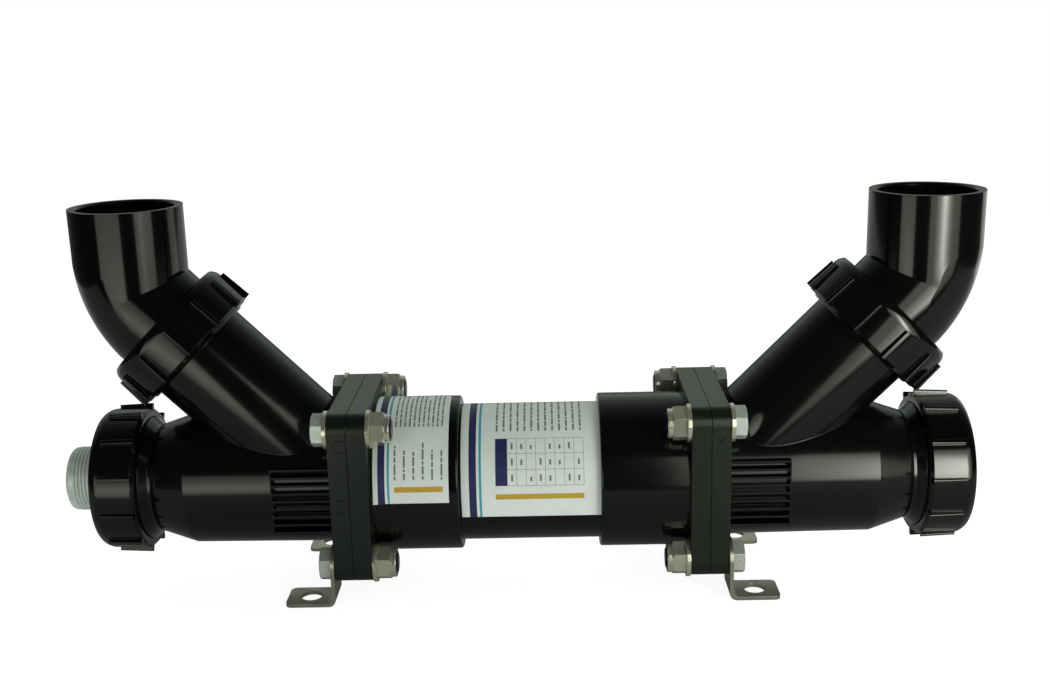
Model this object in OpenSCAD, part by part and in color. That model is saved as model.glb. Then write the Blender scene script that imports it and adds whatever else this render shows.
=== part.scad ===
// In-line ultraviolet water steriliser: a black plastic reactor tube between two bolted wye bodies.
// Each wye has a 45 degree branch with a union nut and a swivelling elbow, and an end port with a nut.
// The lamp slides out through the threaded stub in the left end port.
// X runs along the tube, Y to the rear, Z up. The origin is on the floor, amid the foot holes.

/* [Reactor tube] */
// Outside diameter of the reactor tube
tube_od = 88.9; // [82:0.1:96]
// Wall of the reactor tube
tube_wall = 5.5; // [3:0.1:7]
// Distance from the middle of the tube to each flange joint
joint_x = 112; // [95:1:160]

/* [Socket flanges] */
// Wall of the sleeve round the tube
sleeve_wall = 5.6; // [4:0.1:8]
// Length of the sleeve, from the flange joint
sleeve_len = 67.4; // [45:0.2:85]
// Rounding of the sleeve's open end
sleeve_edge_r = 1.5; // [0.5:0.1:3]
// Distance from the flange joint to the end of the tube
tube_stop = 15; // [10:0.5:30]
// Thickness of each flange plate
flange_t = 12.1; // [9:0.1:18]
// Distance from a bolt's axis to the edge of the plate
flange_edge = 10.75; // [9.5:0.25:16]
// Corner radius of the square plates
flange_corner_r = 10; // [4:0.5:14]
// Width and depth of the rebate along each plate's edge at the joint
joint_rebate = 0.3; // [0.2:0.05:0.6]

/* [Flange bolts] */
// Thread diameter of the flange bolts
bolt_d = 12; // [10:1:13]
// Extra diameter of the holes in the plates
bolt_play = 1; // [0.4:0.1:2]
// Width across flats of the heads and the lock nuts
hex_af = 19; // [17:0.5:20]
// Height of the bolt heads
head_h = 7.5; // [6:0.5:10]
// Slope of the turned corners on the bolt heads
head_slope = 0.5; // [0.3:0.05:1]
// Slope of the turned corners on the lock nuts
nut_slope = 0.9; // [0.3:0.05:1.2]
// Height of the lock nuts, with the nylon insert
lock_nut_h = 12; // [11:0.5:16]
// Height of the round collar that holds the nylon insert
insert_h = 3; // [2:0.2:4]
// Step from the nut's flats in to the round collar
collar_step = 0.3; // [0.2:0.1:0.8]
// Wall of the round collar
collar_skin = 1.1; // [1:0.1:1.3]
// Rounding of the collar's rim
collar_edge_r = 0.7; // [0.3:0.1:0.8]
// Outside diameter of the washers
washer_od = 24; // [23.5:0.5:30]
// Thickness of the washers
washer_t = 2.4; // [1.5:0.1:4]
// Gap between the washers and the sleeve
washer_room = 0.8; // [0.4:0.1:5]
// Length of bolt that shows past the lock nut
bolt_tail = 0.8; // [0.2:0.1:4]

/* [Foot brackets] */
// Width of the strap
strap_w = 25; // [21:0.5:32]
// Thickness of the strap
strap_t = 2.4; // [1.5:0.1:4]
// Inside radius of the strap's bend
strap_bend_r = 2.6; // [1:0.2:5]
// Height of the plates' lower edge above the floor
foot_drop = 13.8; // [10:0.2:40]
// Length of the foot, from the wye's plate to the foot's end
foot_len = 32.3; // [30:0.5:60]
// Corner radius of the foot's end
foot_corner_r = 4; // [1:0.5:10]
// Diameter of the hole in the foot
foot_hole_d = 13.5; // [6:0.5:15]
// Distance from the foot's end to the hole's centre
foot_hole_in = 15; // [10:0.5:17]

/* [Wye bodies] */
// Outside diameter of the barrel at the plate
barrel_od = 87.6; // [84:0.2:90]
// Outside diameter of the barrel where the cone starts
barrel_end_od = 86; // [82:0.2:90]
// Wall of the barrel
barrel_wall = 7.6; // [6.5:0.1:10]
// Distance from the flange joint to the sealing face of the end port
wye_len = 154.7; // [150:0.5:190]
// Length of the cone between the barrel and the neck
cone_len = 23.1; // [14:0.1:28]
// Length of the plain neck
neck_len = 1.8; // [0.5:0.1:8]
// Outside diameter of the neck
neck_od = 70.6; // [68:0.2:73]
// Bore of the end port
mouth_d = 60; // [54:0.5:62]
// Outside diameter of the male threads
thread_od = 80; // [79:0.1:86]
// Bevel at both ends of the male threads
thread_bevel = 1.4; // [0.5:0.1:2]
// Length of the male thread on the end port
end_thread_len = 19.5; // [18:0.1:22]
// Distance from the flange joint to the point where the branch axis meets the tube axis
branch_in = 15.3; // [12:0.1:24]
// Angle between the branch and the tube
branch_angle = 45; // [40:1:50]
// Outside diameter of the branch
branch_od = 70.8; // [67:0.2:74]
// Wall of the branch
branch_wall = 6; // [4.5:0.1:7]
// Distance along the branch from the tube axis to its sealing face
branch_len = 138.2; // [130:0.2:180]
// Length of the male thread on the branch
branch_thread_len = 18.2; // [16:0.1:26]

/* [Fins on the barrel] */
// Number of grooves on each side
fin_count = 8; // [3:1:8]
// Distance between grooves
fin_pitch = 5.2; // [4.4:0.1:5.6]
// Thickness of the fins between the grooves
fin_t = 1.3; // [1:0.1:3]
// Depth of the grooves
fin_depth = 4; // [2:0.2:5]
// Length of the grooves, from the plate
fin_len = 38.5; // [20:0.5:60]
// Height of the uppermost groove above the tube axis
fin_top = 15.3; // [12:0.1:16]
// Distance that the flat face of the fins stands out past the barrel
fin_out = 0.5; // [0.3:0.1:2]
// Wall that closes the outer ends of the grooves
fin_end = 0.6; // [0.4:0.1:2]

/* [Union nuts] */
// Length of the nut
union_len = 29; // [28:0.5:36]
// Wall of the nut outside its thread
union_wall = 5.45; // [4.5:0.05:8]
// Thickness of the lip that draws the joint together
lip_t = 5.2; // [4:0.1:7]
// Thickness of the collar under the lip
collar_t = 6; // [4:0.1:8]
// Number of grip lugs
lug_count = 12; // [6:1:16]
// Height of the grip lugs at their inner ends
lug_h = 3.2; // [1.5:0.1:4]
// Height that the grip lugs lose towards the lip
lug_draft = 0.9; // [0:0.1:1.2]
// Width of the grip lugs
lug_w = 3.2; // [2:0.1:6]
// Rounding of the grip lugs' edges
lug_edge_r = 0.8; // [0.3:0.1:0.9]
// Length of the grip lugs
lug_len = 21.4; // [14:0.2:22.6]
// Plain length of nut before the lugs, and between the lugs and the rounded shoulder
lug_in = 0.6; // [0.4:0.1:1]
// Bevel on the inner end of the nut
union_bevel = 2; // [0.5:0.1:3.5]
// Radius of the rounded shoulder on the outer end
shoulder_r = 8.9; // [8:0.1:14]
// Angle that the left branch nut is tightened to
branch_turn_left = 14.5; // [0:0.5:30]
// Angle that the right branch nut is tightened to
branch_turn_right = 3; // [0:0.5:30]
// Angle that the left end nut is tightened to
end_turn_left = 12.5; // [0:0.5:30]
// Angle that the right end nut is tightened to
end_turn_right = 25; // [0:0.5:30]

/* [Elbows] */
// Outside diameter of the elbow
elbow_od = 70; // [68:0.2:72]
// Outside diameter of the elbow's rim
rim_od = 70.6; // [69:0.2:74]
// Step out from the bend to the straight ends, and from the bend's bore to theirs
hub_step = 0.15; // [0.1:0.05:0.3]
// How far the straight ends and bores reach past each other
hub_lap = 0.4; // [0.2:0.1:0.4]
// Bore of the pipe socket
pipe_bore = 60.5; // [58:0.1:62]
// Depth of the pipe socket
socket_depth = 37; // [25:0.5:37.4]
// Bevel on the mouth of the pipe socket
socket_bevel = 1.2; // [0.4:0.1:2]
// Bore for the water
water_d = 54; // [46:0.5:56]
// Distance from the branch's sealing face to the middle of the bend
elbow_leg = 36.7; // [36:0.1:60]
// Distance from the middle of the bend to the rim
elbow_rise = 56.5; // [56.5:0.1:90]
// Radius of the waterway's bend, to its centreline
elbow_bend_r = 46; // [38:0.5:46.5]
// Radius of the bend that rounds the elbow's back, to its centreline
back_bend_r = 68; // [60:0.5:72]
// How far that bend stands clear of the straight ends
back_room = 0.25; // [0.2:0.05:0.4]

/* [Lamp and quartz] */
// Outside diameter of the threaded stub
stub_od = 41.9; // [36:0.1:46]
// Length of stub outside the left nut
stub_out = 23.5; // [15:0.5:40]
// Diameter of the stub's root, inside the plug
stub_root_d = 38; // [34:0.5:41]
// Length of root screwed into the plug
stub_in = 10.5; // [6:0.5:11]
// Length of relief between the left nut's face and the stub's thread
stub_relief = 1; // [0.5:0.1:3]
// Thickness of the ledge in the stub that the lamp's base rests against
stub_ledge = 4; // [2:0.5:6]
// Bore of the stub's mouth
stub_bore = 29; // [27:0.5:32]
// Rounding of the stub's end
stub_edge_r = 3; // [1:0.2:4]
// Length of the plugs' spigots inside the end ports
spigot_len = 15; // [12:0.5:25]
// Outside diameter of the quartz sleeve
quartz_od = 24; // [20:0.5:25]
// Wall of the quartz sleeve
quartz_wall = 1.5; // [1:0.1:2]
// Wall of the rubber cup on the quartz sleeve's tip
cup_t = 1.6; // [1:0.1:2.5]
// Length of the rubber cup
cup_len = 10; // [6:0.5:10]
// Depth of the cup's seat below the plug's collar
cup_in = 2; // [1:0.2:2]
// Diameter of the lamp's glass
lamp_d = 16; // [12:0.5:16]
// Diameter of the lamp's ceramic ends
lamp_base_d = 26; // [25.5:0.1:26.5]
// Length of the lamp's ceramic base
lamp_base_len = 14; // [8:0.5:16]
// Length of the ceramic cap on the lamp's far end
lamp_cap_len = 8; // [4:0.5:12]
// Distance from the lamp's far end to the tip of the quartz sleeve
lamp_short = 24; // [14:1:80]
// Diameter of the contact pins
pin_d = 2.4; // [1.5:0.1:3]
// Length of the contact pins
pin_len = 5; // [3:0.5:7]
// Distance between neighbouring contact pins
pin_pitch = 8; // [6:0.2:10]

/* [Seals and fits] */
// Section of the O-rings in the flange joints and the unions
ring_d = 3.5; // [2.6:0.1:4]
// Section of the seal round the quartz sleeve
quartz_seal_d = 3.4; // [2.6:0.1:4]
// Gap all round in bonded and screwed seats
seat_gap = 0.1; // [0.05:0.05:0.2]
// Gap between pieces that turn or slide against each other
run_gap = 0.35; // [0.3:0.05:0.6]

/* [Hidden] */
$fn = 96;
cut = 1;
black = [0.06, 0.06, 0.06];
steel = [0.66, 0.64, 0.60];
rubber = [0.12, 0.12, 0.13];
bolt_steel = [0.60, 0.61, 0.61];
navy = [0.10, 0.12, 0.30];

// The sleeves, the bolt square and the plates follow the tube
sleeve_r = tube_od / 2 + seat_gap + sleeve_wall;
tube_bore_r = tube_od / 2 - tube_wall;
bolt_at = (sleeve_r + washer_room + washer_od / 2) / sqrt(2);
plate_half = bolt_at + flange_edge;
axis_h = plate_half + foot_drop;
plate_x = joint_x + flange_t;
lock_collar_r = hex_af / 2 - collar_step;
insert_r = lock_collar_r - collar_skin;

// Stations along the tube axis, outwards from the flange joint
seat_x = joint_x + wye_len;
thread_x = seat_x - end_thread_len;
flare_x = thread_x - (thread_od - neck_od) / 2 + thread_bevel;
neck_x = flare_x - neck_len;
cone_x = neck_x - cone_len;
barrel_bore_r = min(barrel_od, barrel_end_od) / 2 - barrel_wall;
slot_h = fin_pitch - fin_t;
fin_face_y = barrel_od / 2 + fin_out;

// The flange O-ring lies just outside the tube's bore, and the union rings amid the sealing faces
face_ring_r = max(tube_bore_r, barrel_bore_r) + ring_d;
seal_ring_r = thread_od / 4 + mouth_d / 4;
groove_w = ring_d * 1.25;

// Stations along the branch axis, outwards from the tube axis
branch_x = joint_x + branch_in;
branch_r = branch_od / 2;
branch_thread_s = branch_len - branch_thread_len;
root_in = flange_t / 3;
branch_root = (root_in - branch_in + branch_r * sin(branch_angle)) / cos(branch_angle);

// Unions: a collar on the sealing face, and the nut's lip over the collar
collar_r = thread_od / 2 - run_gap;
union_bore_r = thread_od / 2 + run_gap;
union_r = union_bore_r + union_wall;
lip_bore_r = max(elbow_od, rim_od) / 2 + run_gap;
union_out = run_gap + collar_t + run_gap + lip_t;

// The elbow turns from the branch to the vertical
bend_angle = 90 - branch_angle;
bend_tangent = elbow_bend_r * tan(bend_angle / 2);
bend_s = branch_len + elbow_leg;
bend_x = branch_x + bend_s * cos(branch_angle);
bend_z = bend_s * sin(branch_angle);

// Lamp end, measured outwards from the middle of the tube on the left
nut_face_x = seat_x + union_out;
stub_root_x = nut_face_x - stub_in;
stub_end_x = nut_face_x + stub_out;
quartz_r = quartz_od / 2;
seal_seat_r = quartz_r + quartz_seal_d + seat_gap;
seal_depth = quartz_seal_d + seat_gap;
quartz_open_x = stub_root_x + stub_ledge;
base_x = quartz_open_x + run_gap;
hub_r = lip_bore_r - run_gap;

// Blind end: the closed tip of the quartz rests in a rubber cup
cup_seat_x = seat_x - cup_in;
quartz_tip_x = cup_seat_x - cup_t - seat_gap;
lamp_far_x = quartz_tip_x - lamp_short;
lamp_cap_d = min(lamp_d + 2, quartz_od - 2 * quartz_wall - 2 * run_gap);

// Pieces are drawn on the right and mirrored to the left
module on_side(side) {
    mirror([side == "left" ? 1 : 0, 0, 0]) translate([0, 0, axis_h]) children();
}

// Turns a piece drawn up Z so that it lies outwards along the tube axis
module along_tube() {
    rotate([0, 90, 0]) children();
}

// Turns a piece drawn up Z so that it lies outwards along the branch axis
module along_branch() {
    translate([branch_x, 0, 0]) rotate([0, 90 - branch_angle, 0]) children();
}

module tube_between(r_out, r_in, z0, z1) {
    translate([0, 0, z0]) difference() {
        cylinder(r = r_out, h = z1 - z0);
        translate([0, 0, -cut]) cylinder(r = r_in, h = z1 - z0 + 2 * cut);
    }
}

module ring_solid(r, section) {
    rotate_extrude() translate([r, 0]) circle(d = section, $fn = 48);
}

module rounded_square(half, r) {
    square([2 * half, 2 * (half - r)], center = true);
    square([2 * (half - r), 2 * half], center = true);
    for (sx = [-1, 1], sy = [-1, 1]) translate([sx * (half - r), sy * (half - r)]) circle(r);
}

// Square flange plate between two stations, without its holes, rebated along the joint
module flange_plate(x0, x1) {
    full_x0 = x0 < joint_x ? x0 : x0 + joint_rebate;
    full_x1 = x1 > joint_x ? x1 : x1 - joint_rebate;
    translate([full_x0, 0, 0]) along_tube() linear_extrude(full_x1 - full_x0)
        rounded_square(plate_half, flange_corner_r);
    translate([x0, 0, 0]) along_tube() linear_extrude(x1 - x0)
        rounded_square(plate_half - joint_rebate, flange_corner_r - joint_rebate);
}

module at_bolts(rows = [-1, 1]) {
    for (sy = [-1, 1], sz = rows) translate([0, sy * bolt_at, sz * bolt_at]) children();
}

module bolt_holes() {
    at_bolts() translate([joint_x - flange_t - cut, 0, 0]) along_tube()
        cylinder(d = bolt_d + bolt_play, h = 2 * (flange_t + cut));
}

module reactor_tube() {
    half = joint_x - tube_stop;
    color(black) translate([0, 0, axis_h]) along_tube()
        tube_between(tube_od / 2, tube_bore_r, -half, half);
}

// Sleeve for the tube, with the plate that bolts to the wye
module socket_flange(side) {
    end_x = joint_x - sleeve_len;
    color(black) on_side(side) difference() {
        union() {
            flange_plate(joint_x - flange_t, joint_x);
            along_tube() rotate_extrude() {
                translate([0, end_x + sleeve_edge_r]) square([sleeve_r, sleeve_len - sleeve_edge_r]);
                translate([0, end_x]) square([sleeve_r - sleeve_edge_r, sleeve_len]);
                translate([sleeve_r - sleeve_edge_r, end_x + sleeve_edge_r]) circle(sleeve_edge_r);
            }
        }
        along_tube() translate([0, 0, end_x - cut]) cylinder(r = tube_bore_r, h = sleeve_len + 2 * cut);
        along_tube() translate([0, 0, end_x - cut])
            cylinder(r = tube_od / 2 + seat_gap, h = sleeve_len - tube_stop + cut);
        bolt_holes();
    }
}

// Pad that squares off both flanks of the barrel, to be cut into fins
module fin_pad() {
    pad_x = plate_x - root_in;
    pad_high = fin_top + slot_h / 2 + fin_t;
    pad_low = fin_top - (fin_count - 1) * fin_pitch - slot_h / 2 - fin_t;
    translate([pad_x, -fin_face_y, pad_low])
        cube([plate_x + fin_len + fin_end - pad_x, 2 * fin_face_y, pad_high - pad_low]);
}

// Straight-pull grooves between the fins, rounded at their outer ends
module fin_grooves() {
    reach = fin_face_y + cut;
    difference() {
        for (i = [0 : fin_count - 1])
            translate([plate_x, 0, fin_top - i * fin_pitch]) rotate([90, 0, 0])
                linear_extrude(2 * reach, center = true) {
                    translate([0, -slot_h / 2]) square([fin_len - slot_h / 2, slot_h]);
                    translate([fin_len - slot_h / 2, 0]) circle(d = slot_h);
                }
        translate([plate_x - cut, 0, 0]) along_tube()
            cylinder(r = barrel_od / 2 - fin_depth, h = fin_len + 2 * cut);
    }
}

// Outline of a male thread, from its shoulder to the sealing face and in to the axis
function thread_points(z0, z1) = [
    [thread_od / 2 - thread_bevel, z0], [thread_od / 2, z0 + thread_bevel],
    [thread_od / 2, z1 - thread_bevel], [thread_od / 2 - thread_bevel, z1], [0, z1]
];

module face_groove(r, z) {
    tube_between(r + groove_w / 2, r - groove_w / 2, z - ring_d, z + cut);
}

// Wye body: plate, finned barrel, cone, flared and threaded end port, and threaded branch
module wye(side) {
    color(black) on_side(side) difference() {
        union() {
            flange_plate(joint_x, plate_x);
            along_tube() rotate_extrude() polygon(concat([
                [0, joint_x], [barrel_od / 2, joint_x], [barrel_od / 2, plate_x],
                [barrel_end_od / 2, cone_x], [neck_od / 2, neck_x], [neck_od / 2, flare_x]
            ], thread_points(thread_x, seat_x)));
            along_branch() rotate_extrude() polygon(concat([
                [0, branch_root], [branch_r, branch_root], [branch_r, branch_thread_s]
            ], thread_points(branch_thread_s, branch_len)));
            fin_pad();
        }
        along_tube() rotate_extrude() polygon([
            [0, joint_x - cut], [barrel_bore_r, joint_x - cut], [barrel_bore_r, cone_x - barrel_wall / 2],
            [mouth_d / 2, neck_x - barrel_wall / 2], [mouth_d / 2, seat_x + cut], [0, seat_x + cut]
        ]);
        along_branch() cylinder(r = branch_r - branch_wall, h = branch_len + cut);
        along_tube() tube_between(face_ring_r + groove_w / 2, face_ring_r - groove_w / 2,
            joint_x - cut, joint_x + ring_d);
        along_tube() face_groove(seal_ring_r, seat_x);
        along_branch() face_groove(seal_ring_r, branch_len);
        bolt_holes();
        fin_grooves();
    }
}

module flange_oring(side) {
    color(rubber) on_side(side) translate([joint_x + ring_d / 2, 0, 0]) along_tube()
        ring_solid(face_ring_r, ring_d);
}

// Hexagon with its far corners turned off at a slope
module hex_blank(h, slope) {
    corner_r = hex_af / sqrt(3);
    turn_h = (corner_r - hex_af / 2 + cut) * slope;
    intersection() {
        cylinder(r = corner_r, h = h, $fn = 6);
        rotate_extrude() polygon([
            [0, 0], [corner_r + cut, 0], [corner_r + cut, h - turn_h], [hex_af / 2, h], [0, h]
        ]);
    }
}

// Hexagon bolts, with their heads on the wye's plate
module flange_bolts(side) {
    end_x = joint_x - flange_t - washer_t - lock_nut_h - bolt_tail;
    color(bolt_steel) on_side(side)
        for (row = [-1, 1]) {
            under_head = plate_x + (row < 0 ? strap_t : washer_t);
            at_bolts([row]) along_tube() {
                translate([0, 0, end_x]) cylinder(d = bolt_d, h = under_head - end_x + head_h / 2);
                translate([0, 0, under_head]) hex_blank(head_h, head_slope);
            }
        }
}

module washer() {
    tube_between(washer_od / 2, bolt_d / 2 + seat_gap, 0, washer_t);
}

// Plain washers: four under the lock nuts, two under the upper heads
module bolt_washers(side) {
    color(steel) on_side(side) {
        at_bolts() along_tube() translate([0, 0, joint_x - flange_t - washer_t]) washer();
        at_bolts([1]) along_tube() translate([0, 0, plate_x]) washer();
    }
}

module lock_nuts(side) {
    body_h = lock_nut_h - insert_h;
    color(steel) on_side(side) at_bolts()
        translate([joint_x - flange_t - washer_t, 0, 0]) rotate([0, -90, 0]) difference() {
            union() {
                hex_blank(body_h, nut_slope);
                rotate_extrude() {
                    square([lock_collar_r, lock_nut_h - collar_edge_r]);
                    square([lock_collar_r - collar_edge_r, lock_nut_h]);
                    translate([lock_collar_r - collar_edge_r, lock_nut_h - collar_edge_r])
                        circle(collar_edge_r);
                }
            }
            translate([0, 0, -cut]) cylinder(d = bolt_d + 2 * seat_gap, h = lock_nut_h + 2 * cut);
            translate([0, 0, body_h]) cylinder(r = insert_r + seat_gap, h = insert_h + cut);
        }
}

module nylon_inserts(side) {
    color(navy) on_side(side) at_bolts()
        translate([joint_x - flange_t - washer_t, 0, 0]) rotate([0, -90, 0])
            tube_between(insert_r, bolt_d / 2 + seat_gap, lock_nut_h - insert_h, lock_nut_h);
}

// Bent strap on a lower bolt, with its foot turned outwards
module foot_bracket(side, row) {
    half = strap_w / 2;
    bend_z = strap_t + strap_bend_r - axis_h;
    bend_x = plate_x + strap_t + strap_bend_r;
    end_x = plate_x + foot_len;
    color(steel) on_side(side) translate([0, row * bolt_at, 0]) difference() {
        union() {
            translate([plate_x, -half, bend_z]) cube([strap_t, strap_w, -bolt_at - bend_z]);
            translate([plate_x, 0, -bolt_at]) along_tube() cylinder(r = half, h = strap_t);
            translate([bend_x, 0, bend_z]) rotate([90, 0, 0]) rotate([0, 0, 180])
                rotate_extrude(angle = 90) translate([strap_bend_r, -half]) square([strap_t, strap_w]);
            translate([0, 0, -axis_h]) linear_extrude(strap_t) {
                translate([bend_x, -half]) square([end_x - foot_corner_r - bend_x, strap_w]);
                translate([bend_x, foot_corner_r - half])
                    square([end_x - bend_x, strap_w - 2 * foot_corner_r]);
                for (sy = [-1, 1]) translate([end_x - foot_corner_r, sy * (half - foot_corner_r)])
                    circle(foot_corner_r);
            }
        }
        translate([plate_x - cut, 0, -bolt_at]) along_tube()
            cylinder(d = bolt_d + bolt_play, h = strap_t + 2 * cut);
        translate([end_x - foot_hole_in, 0, -axis_h - cut]) cylinder(d = foot_hole_d, h = strap_t + 2 * cut);
    }
}

module branch_oring(side) {
    color(rubber) on_side(side) along_branch() translate([0, 0, branch_len - ring_d / 2])
        ring_solid(seal_ring_r, ring_d);
}

module end_oring(side) {
    color(rubber) on_side(side) along_tube() translate([0, 0, seat_x - ring_d / 2])
        ring_solid(seal_ring_r, ring_d);
}

// Outline of a grip lug of a height, with its outer edges rounded
module lug_outline(h) {
    half = lug_w / 2;
    translate([0, -half]) square([h - lug_edge_r, lug_w]);
    translate([0, lug_edge_r - half]) square([h, lug_w - 2 * lug_edge_r]);
    for (sy = [-1, 1]) translate([h - lug_edge_r, sy * (half - lug_edge_r)]) circle(lug_edge_r);
}

// Union nut, drawn from its open inner end at Z zero to its lip, with its first lug turned by an angle
module union_nut(turn) {
    lug_end = lug_in + lug_len;
    shoulder_z = lug_end + lug_in;
    difference() {
        union() {
            rotate_extrude() intersection() {
                polygon([
                    [0, 0], [union_r - union_bevel, 0], [union_r, union_bevel],
                    [union_r, union_len], [0, union_len]
                ]);
                union() {
                    square([union_r, shoulder_z]);
                    square([union_r - shoulder_r, union_len]);
                    translate([union_r - shoulder_r, shoulder_z]) circle(shoulder_r);
                }
            }
            for (i = [0 : lug_count - 1]) rotate(turn + i * 360 / lug_count)
                translate([union_r - union_bevel, 0, lug_in]) rotate([0, -atan(lug_draft / lug_len), 0])
                    linear_extrude(lug_len) lug_outline(lug_h + union_bevel);
        }
        translate([0, 0, -cut]) cylinder(r = union_bore_r, h = union_len - lip_t + cut);
        translate([0, 0, -cut]) cylinder(r = lip_bore_r, h = union_len + 2 * cut);
    }
}

module branch_nut(side, turn) {
    color(black) on_side(side) along_branch() translate([0, 0, branch_len + union_out - union_len])
        union_nut(turn);
}

module end_nut(side, turn) {
    color(black) on_side(side) along_tube() translate([0, 0, nut_face_x - union_len]) union_nut(turn);
}

// Z runs from the middle of the bend down to the branch
module towards_branch() {
    translate([bend_x, 0, bend_z]) rotate([0, -90 - branch_angle, 0]) children();
}

// Z runs from the middle of the bend up to the rim
module towards_rim() {
    translate([bend_x, 0, bend_z]) children();
}

// Frame of a bend that starts at the branch, with its centre at the origin
module at_bend(bend_r) {
    translate([bend_x - bend_r, 0, bend_z + bend_r * tan(bend_angle / 2)])
        rotate([90, 0, 0]) rotate([0, 0, -bend_angle]) children();
}

// What the rounding takes off the elbow's back
module back_cut() {
    reach = elbow_od;
    at_bend(back_bend_r) rotate_extrude(angle = bend_angle) difference() {
        translate([back_bend_r, -reach]) square([reach, 2 * reach]);
        translate([back_bend_r, 0]) circle(elbow_od / 2 + hub_step + back_room);
    }
}

// Two straight ends that meet in a mitre
module elbow_blank() {
    end_r = elbow_od / 2 + hub_step;
    towards_branch() translate([0, 0, -hub_lap]) cylinder(r = end_r, h = elbow_leg - collar_t + hub_lap);
    towards_rim() translate([0, 0, -hub_lap])
        cylinder(r1 = end_r, r2 = rim_od / 2, h = elbow_rise + hub_lap);
    towards_rim() sphere(elbow_od / 2);
}

// Elbow with a union collar below and a pipe socket above
module elbow(side) {
    bore_r = water_d / 2 + hub_step;
    bore_start = bend_tangent - hub_lap;
    color(black) on_side(side) difference() {
        union() {
            difference() {
                elbow_blank();
                back_cut();
            }
            towards_branch() translate([0, 0, elbow_leg - run_gap - collar_t])
                cylinder(r = collar_r, h = collar_t);
        }
        towards_branch() translate([0, 0, bore_start]) cylinder(r = bore_r, h = elbow_leg - bore_start);
        at_bend(elbow_bend_r) rotate_extrude(angle = bend_angle)
            translate([elbow_bend_r, 0]) circle(water_d / 2);
        towards_rim() translate([0, 0, bore_start]) cylinder(r = bore_r, h = elbow_rise - bore_start);
        towards_rim() translate([0, 0, elbow_rise - socket_depth])
            cylinder(r = pipe_bore / 2, h = socket_depth + cut);
        towards_rim() translate([0, 0, elbow_rise - socket_bevel])
            cylinder(r1 = pipe_bore / 2, r2 = pipe_bore / 2 + 2 * socket_bevel, h = 2 * socket_bevel);
    }
}

// Spigot, collar and hub that both end plugs share
module plug_blank() {
    spigot_r = mouth_d / 2 - run_gap;
    rotate_extrude() polygon([
        [0, seat_x - spigot_len], [spigot_r, seat_x - spigot_len], [spigot_r, seat_x],
        [collar_r, seat_x], [collar_r, seat_x + run_gap + collar_t],
        [hub_r, seat_x + run_gap + collar_t], [hub_r, nut_face_x], [0, nut_face_x]
    ]);
}

module lamp_plug() {
    color(black) on_side("left") along_tube() difference() {
        plug_blank();
        translate([0, 0, seat_x - spigot_len - cut])
            cylinder(r = quartz_r + run_gap, h = nut_face_x - seat_x + spigot_len + 2 * cut);
        translate([0, 0, stub_root_x]) cylinder(d = stub_root_d + 2 * seat_gap, h = stub_in + cut);
        translate([0, 0, stub_root_x - seal_depth]) cylinder(r = seal_seat_r, h = seal_depth + cut);
    }
}

module blind_plug() {
    color(black) on_side("right") along_tube() difference() {
        plug_blank();
        translate([0, 0, seat_x - spigot_len - cut])
            cylinder(r = quartz_r + cup_t + 2 * seat_gap, h = cup_seat_x - seat_x + spigot_len + cut);
    }
}

// Metal stub with a relieved root and a rounded end; the quartz sleeve opens inside it
module lamp_stub() {
    r = stub_od / 2;
    thread_start = nut_face_x + stub_relief;
    color([0.62, 0.66, 0.66]) on_side("left") along_tube() difference() {
        rotate_extrude() {
            translate([0, stub_root_x]) square([stub_root_d / 2, stub_end_x - stub_root_x - stub_edge_r]);
            translate([0, thread_start]) square([r, stub_end_x - thread_start - stub_edge_r]);
            translate([0, thread_start]) square([r - stub_edge_r, stub_end_x - thread_start]);
            translate([r - stub_edge_r, stub_end_x - stub_edge_r]) circle(stub_edge_r);
        }
        translate([0, 0, stub_root_x - cut])
            cylinder(r = quartz_r + run_gap, h = stub_end_x - stub_root_x + 2 * cut);
        translate([0, 0, quartz_open_x]) cylinder(d = stub_bore, h = stub_end_x - quartz_open_x + cut);
    }
}

module quartz_seal() {
    color(rubber) on_side("left") along_tube() translate([0, 0, stub_root_x - seal_depth / 2])
        ring_solid(quartz_r + seat_gap / 2 + quartz_seal_d / 2, quartz_seal_d);
}

// Half section of a round-ended rod that stands on its open end
module round_ended(r, h) {
    square([r, h - r]);
    intersection() {
        translate([0, h - r]) circle(r);
        square([r, h]);
    }
}

module quartz_sleeve() {
    len = quartz_open_x + quartz_tip_x;
    color([0.80, 0.90, 0.95, 0.4]) translate([-quartz_open_x, 0, axis_h]) along_tube() difference() {
        rotate_extrude() round_ended(quartz_r, len);
        translate([0, 0, -cut]) rotate_extrude() round_ended(quartz_r - quartz_wall, len - quartz_wall + cut);
    }
}

// Rubber cup that holds the closed tip of the quartz sleeve
module quartz_cup() {
    color(rubber) on_side("right") along_tube() difference() {
        translate([0, 0, cup_seat_x - cup_len]) cylinder(r = quartz_r + cup_t + seat_gap, h = cup_len);
        translate([0, 0, cup_seat_x - cup_len - cut])
            cylinder(r = quartz_r + seat_gap, h = cup_len - cup_t + cut);
    }
}

module uv_lamp() {
    color([0.85, 0.90, 0.95]) translate([-base_x, 0, axis_h]) along_tube()
        cylinder(d = lamp_d, h = base_x + lamp_far_x - lamp_cap_len);
}

module lamp_end_cap() {
    color([0.93, 0.92, 0.88]) translate([lamp_far_x - lamp_cap_len, 0, axis_h]) along_tube()
        cylinder(d = lamp_cap_d, h = lamp_cap_len);
}

module lamp_base() {
    color([0.93, 0.92, 0.88]) on_side("left") translate([base_x, 0, 0]) along_tube()
        cylinder(d = lamp_base_d, h = lamp_base_len);
}

module lamp_pins() {
    color([0.80, 0.66, 0.36]) on_side("left") translate([base_x + lamp_base_len, 0, 0]) along_tube()
        for (sx = [-1, 1], sy = [-1, 1]) translate([sx * pin_pitch / 2, sy * pin_pitch / 2, 0])
            cylinder(d = pin_d, h = pin_len);
}

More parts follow.
